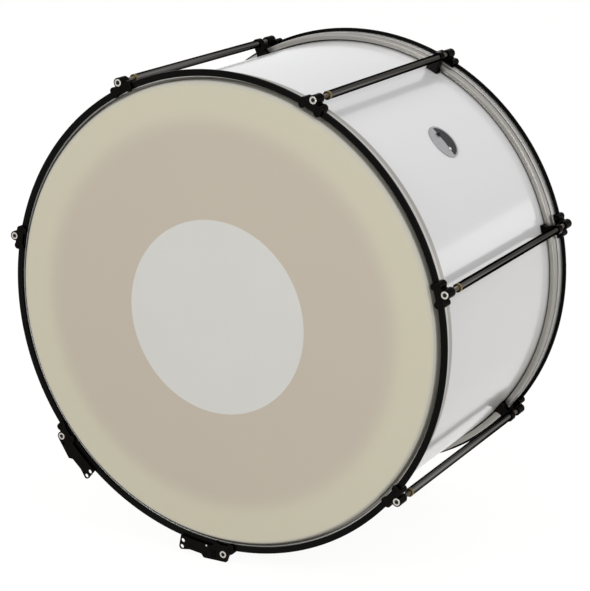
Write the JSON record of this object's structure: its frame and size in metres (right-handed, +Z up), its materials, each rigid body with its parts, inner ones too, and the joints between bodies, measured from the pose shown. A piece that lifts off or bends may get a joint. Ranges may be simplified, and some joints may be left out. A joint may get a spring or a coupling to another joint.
{
  "type": "marching bass drum",
  "caption": "Wide shallow drum with a white shell, a cream head at each end under black and silver rims, dark full-length tension tubes and flat carrier arms low on the rims.",
  "frame": {"origin": "on the ground, straight below the middle of the drum, between the two feet it stands on", "axes": "+Y runs along the drum's axis from the front (struck) head to the rear head, +Z is up, and +X is to the right as the front head is seen"},
  "size_m": [0.6494, 0.3966, 0.6565],
  "materials": {
    "lacquer": "white gloss lacquer over a ply shell",
    "badge_metal": "satin, half of it black",
    "dark_steel": "dark, satin",
    "black_guard": "black, satin",
    "hoop_aluminium": "bare, satin",
    "head_film": "cream film with a pale centre, matt",
    "black_claw": "die cast, black powder coat",
    "screw_steel": "zinc plated",
    "gunmetal_tube": "dark gunmetal plating, semi-gloss",
    "brass": "machined",
    "black_block": "die cast, black powder coat"
  },
  "bodies": {
    "shell": {"shell": "lacquer", "badge": "badge_metal", "vent_eyelet": "dark_steel", "tube_1": "gunmetal_tube", "tube_2": "gunmetal_tube", "tube_3": "gunmetal_tube", "tube_4": "gunmetal_tube", "tube_5": "gunmetal_tube", "tube_6": "gunmetal_tube", "tube_7": "gunmetal_tube", "tube_insert_1": "brass", "tube_insert_2": "brass", "tube_insert_3": "brass", "tube_insert_4": "brass", "tube_insert_5": "brass", "tube_insert_6": "brass", "tube_insert_7": "brass", "tube_block_1": "black_block", "tube_block_2": "black_block", "tube_block_3": "black_block", "tube_block_4": "black_block", "tube_block_5": "black_block", "tube_block_6": "black_block", "tube_block_7": "black_block"},
    "front_rim": {"front_rim_guard": "black_guard", "front_hoop": "hoop_aluminium", "front_head": "head_film", "front_flesh_hoop": "hoop_aluminium", "front_claw_1": "black_claw", "front_claw_2": "black_claw", "front_claw_3": "black_claw", "front_claw_4": "black_claw", "front_carrier_claw_5": "black_claw", "front_carrier_claw_6": "black_claw", "front_claw_7": "black_claw"},
    "rear_rim": {"rear_rim_guard": "black_guard", "rear_hoop": "hoop_aluminium", "rear_head": "head_film", "rear_flesh_hoop": "hoop_aluminium", "rear_claw_1": "black_claw", "rear_claw_2": "black_claw", "rear_claw_3": "black_claw", "rear_claw_4": "black_claw", "rear_carrier_claw_5": "black_claw", "rear_carrier_claw_6": "black_claw", "rear_claw_7": "black_claw"},
    "front_screw_1": {"front_screw_1": "screw_steel"},
    "front_screw_2": {"front_screw_2": "screw_steel"},
    "front_screw_3": {"front_screw_3": "screw_steel"},
    "front_screw_4": {"front_screw_4": "screw_steel"},
    "front_screw_5": {"front_screw_5": "screw_steel"},
    "front_screw_6": {"front_screw_6": "screw_steel"},
    "front_screw_7": {"front_screw_7": "screw_steel"},
    "rear_screw_1": {"rear_screw_1": "screw_steel"},
    "rear_screw_2": {"rear_screw_2": "screw_steel"},
    "rear_screw_3": {"rear_screw_3": "screw_steel"},
    "rear_screw_4": {"rear_screw_4": "screw_steel"},
    "rear_screw_5": {"rear_screw_5": "screw_steel"},
    "rear_screw_6": {"rear_screw_6": "screw_steel"},
    "rear_screw_7": {"rear_screw_7": "screw_steel"}
  },
  "joints": [
    {"name": "front_rim_tension", "type": "slide", "parent": "shell", "child": "front_rim", "axis": [0, -1, 0], "range_m": [0, 0.016]},
    {"name": "rear_rim_tension", "type": "slide", "parent": "shell", "child": "rear_rim", "axis": [0, 1, 0], "range_m": [0, 0.016]},
    {"name": "front_screw_1_turn", "type": "hinge", "parent": "front_rim", "child": "front_screw_1", "pos_m": [-0.14145, -0.1983, 0.63022], "axis": [0, -1, 0], "range_deg": [0, 5761]},
    {"name": "front_screw_2_turn", "type": "hinge", "parent": "front_rim", "child": "front_screw_2", "pos_m": [0.14145, -0.1983, 0.63022], "axis": [0, -1, 0], "range_deg": [0, 5761]},
    {"name": "front_screw_3_turn", "type": "hinge", "parent": "front_rim", "child": "front_screw_3", "pos_m": [0.31783, -0.1983, 0.40904], "axis": [0, -1, 0], "range_deg": [0, 5761]},
    {"name": "front_screw_4_turn", "type": "hinge", "parent": "front_rim", "child": "front_screw_4", "pos_m": [0.25488, -0.1983, 0.13324], "axis": [0, -1, 0], "range_deg": [0, 5761]},
    {"name": "front_screw_5_turn", "type": "hinge", "parent": "front_rim", "child": "front_screw_5", "pos_m": [0, -0.1983, 0.0105], "axis": [0, -1, 0], "range_deg": [0, 5761]},
    {"name": "front_screw_6_turn", "type": "hinge", "parent": "front_rim", "child": "front_screw_6", "pos_m": [-0.25488, -0.1983, 0.13324], "axis": [0, -1, 0], "range_deg": [0, 5761]},
    {"name": "front_screw_7_turn", "type": "hinge", "parent": "front_rim", "child": "front_screw_7", "pos_m": [-0.31783, -0.1983, 0.40904], "axis": [0, -1, 0], "range_deg": [0, 5761]},
    {"name": "rear_screw_1_turn", "type": "hinge", "parent": "rear_rim", "child": "rear_screw_1", "pos_m": [-0.14145, 0.1983, 0.63022], "axis": [0, 1, 0], "range_deg": [0, 5761]},
    {"name": "rear_screw_2_turn", "type": "hinge", "parent": "rear_rim", "child": "rear_screw_2", "pos_m": [0.14145, 0.1983, 0.63022], "axis": [0, 1, 0], "range_deg": [0, 5761]},
    {"name": "rear_screw_3_turn", "type": "hinge", "parent": "rear_rim", "child": "rear_screw_3", "pos_m": [0.31783, 0.1983, 0.40904], "axis": [0, 1, 0], "range_deg": [0, 5761]},
    {"name": "rear_screw_4_turn", "type": "hinge", "parent": "rear_rim", "child": "rear_screw_4", "pos_m": [0.25488, 0.1983, 0.13324], "axis": [0, 1, 0], "range_deg": [0, 5761]},
    {"name": "rear_screw_5_turn", "type": "hinge", "parent": "rear_rim", "child": "rear_screw_5", "pos_m": [0, 0.1983, 0.0105], "axis": [0, 1, 0], "range_deg": [0, 5761]},
    {"name": "rear_screw_6_turn", "type": "hinge", "parent": "rear_rim", "child": "rear_screw_6", "pos_m": [-0.25488, 0.1983, 0.13324], "axis": [0, 1, 0], "range_deg": [0, 5761]},
    {"name": "rear_screw_7_turn", "type": "hinge", "parent": "rear_rim", "child": "rear_screw_7", "pos_m": [-0.31783, 0.1983, 0.40904], "axis": [0, 1, 0], "range_deg": [0, 5761]}
  ],
  "couplings": [
    {"joint": "front_screw_1_turn", "follows": "front_rim_tension", "rad_per_m": 6283.2},
    {"joint": "front_screw_2_turn", "follows": "front_rim_tension", "rad_per_m": 6283.2},
    {"joint": "front_screw_3_turn", "follows": "front_rim_tension", "rad_per_m": 6283.2},
    {"joint": "front_screw_4_turn", "follows": "front_rim_tension", "rad_per_m": 6283.2},
    {"joint": "front_screw_5_turn", "follows": "front_rim_tension", "rad_per_m": 6283.2},
    {"joint": "front_screw_6_turn", "follows": "front_rim_tension", "rad_per_m": 6283.2},
    {"joint": "front_screw_7_turn", "follows": "front_rim_tension", "rad_per_m": 6283.2},
    {"joint": "rear_screw_1_turn", "follows": "rear_rim_tension", "rad_per_m": 6283.2},
    {"joint": "rear_screw_2_turn", "follows": "rear_rim_tension", "rad_per_m": 6283.2},
    {"joint": "rear_screw_3_turn", "follows": "rear_rim_tension", "rad_per_m": 6283.2},
    {"joint": "rear_screw_4_turn", "follows": "rear_rim_tension", "rad_per_m": 6283.2},
    {"joint": "rear_screw_5_turn", "follows": "rear_rim_tension", "rad_per_m": 6283.2},
    {"joint": "rear_screw_6_turn", "follows": "rear_rim_tension", "rad_per_m": 6283.2},
    {"joint": "rear_screw_7_turn", "follows": "rear_rim_tension", "rad_per_m": 6283.2}
  ]
}
